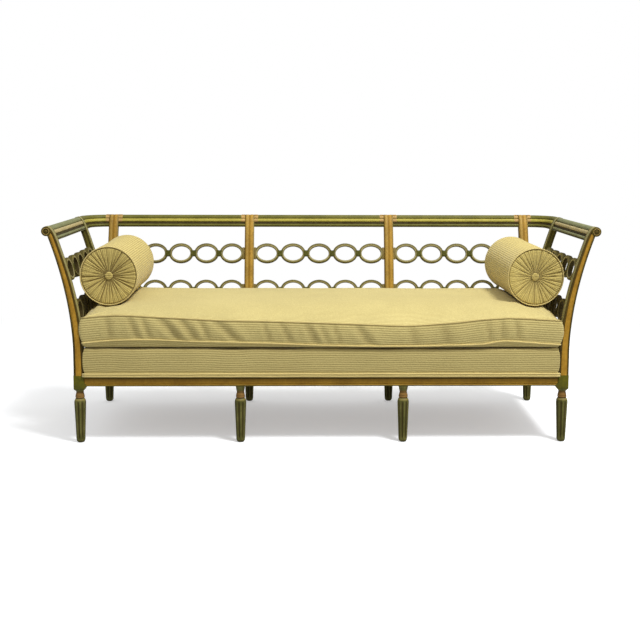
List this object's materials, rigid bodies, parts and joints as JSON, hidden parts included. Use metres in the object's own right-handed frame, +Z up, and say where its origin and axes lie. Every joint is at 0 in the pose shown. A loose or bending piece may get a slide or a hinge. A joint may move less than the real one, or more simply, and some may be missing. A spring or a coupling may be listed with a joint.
{
  "type": "recamier",
  "caption": "Open painted settee with outward curving arms, galleries of oval rings, fluted legs, an upholstered deck, a long loose cushion and round end bolsters.",
  "frame": {"origin": "on the floor, under the middle of the whole settee's box", "axes": "+X along the settee to the right end as seen from the front, +Y from the front to the back, +Z up"},
  "size_m": [2.069, 0.8146, 0.8065],
  "materials": {
    "ochre_paint": "ochre paint over wood, rubbed satin",
    "olive_paint": "olive paint over wood, rubbed satin",
    "leg_paint": "olive paint with dark grooves and a copper-brown ring",
    "raw_wood": "unpainted, sawn",
    "corded_cloth": "straw-yellow cloth with fine cords, matt"
  },
  "bodies": {
    "frame": {"front_rail": "ochre_paint", "back_rail": "ochre_paint", "side_rail_left": "ochre_paint", "side_rail_right": "ochre_paint", "front_arm_post_left": "ochre_paint", "front_arm_post_right": "ochre_paint", "rear_arm_post_left": "ochre_paint", "rear_arm_post_right": "ochre_paint", "back_post_1": "ochre_paint", "back_post_2": "ochre_paint", "back_post_3": "ochre_paint", "back_post_4": "ochre_paint", "scroll_rosette_left": "ochre_paint", "scroll_rosette_right": "ochre_paint", "arm_crest_rail_left": "olive_paint", "arm_crest_rail_right": "olive_paint", "corner_crest_rail_left": "olive_paint", "corner_crest_rail_right": "olive_paint", "back_crest_rail_1": "olive_paint", "back_crest_rail_2": "olive_paint", "back_crest_rail_3": "olive_paint", "back_gallery_upper_1": "olive_paint", "back_gallery_upper_2": "olive_paint", "back_gallery_upper_3": "olive_paint", "back_gallery_lower_1": "olive_paint", "back_gallery_lower_2": "olive_paint", "back_gallery_lower_3": "olive_paint", "arm_gallery_upper_left": "olive_paint", "arm_gallery_upper_right": "olive_paint", "arm_gallery_lower_left": "olive_paint", "arm_gallery_lower_right": "olive_paint", "corner_block_left": "olive_paint", "corner_block_right": "olive_paint", "front_leg_1": "leg_paint", "front_leg_2": "leg_paint", "front_leg_3": "leg_paint", "front_leg_4": "leg_paint", "back_leg_1": "leg_paint", "back_leg_2": "leg_paint", "back_leg_3": "leg_paint", "back_leg_4": "leg_paint", "seat_board": "raw_wood", "cross_bearer_left": "raw_wood", "cross_bearer_right": "raw_wood", "end_bearer_left": "raw_wood", "end_bearer_right": "raw_wood", "deck": "corded_cloth"},
    "seat_cushion": {"seat_cushion": "corded_cloth"},
    "bolster_left": {"bolster_left": "corded_cloth", "bolster_left_front_button": "corded_cloth", "bolster_left_rear_button": "corded_cloth"},
    "bolster_right": {"bolster_right": "corded_cloth", "bolster_right_front_button": "corded_cloth", "bolster_right_rear_button": "corded_cloth"}
  },
  "joints": [
    {"name": "seat_cushion_lift", "type": "slide", "parent": "frame", "child": "seat_cushion", "axis": [0, 0, 1], "range_m": [0, 0.45]},
    {"name": "bolster_left_lift", "type": "slide", "parent": "seat_cushion", "child": "bolster_left", "axis": [0, 0, 1], "range_m": [0, 0.4]},
    {"name": "bolster_right_lift", "type": "slide", "parent": "seat_cushion", "child": "bolster_right", "axis": [0, 0, 1], "range_m": [0, 0.4]}
  ]
}
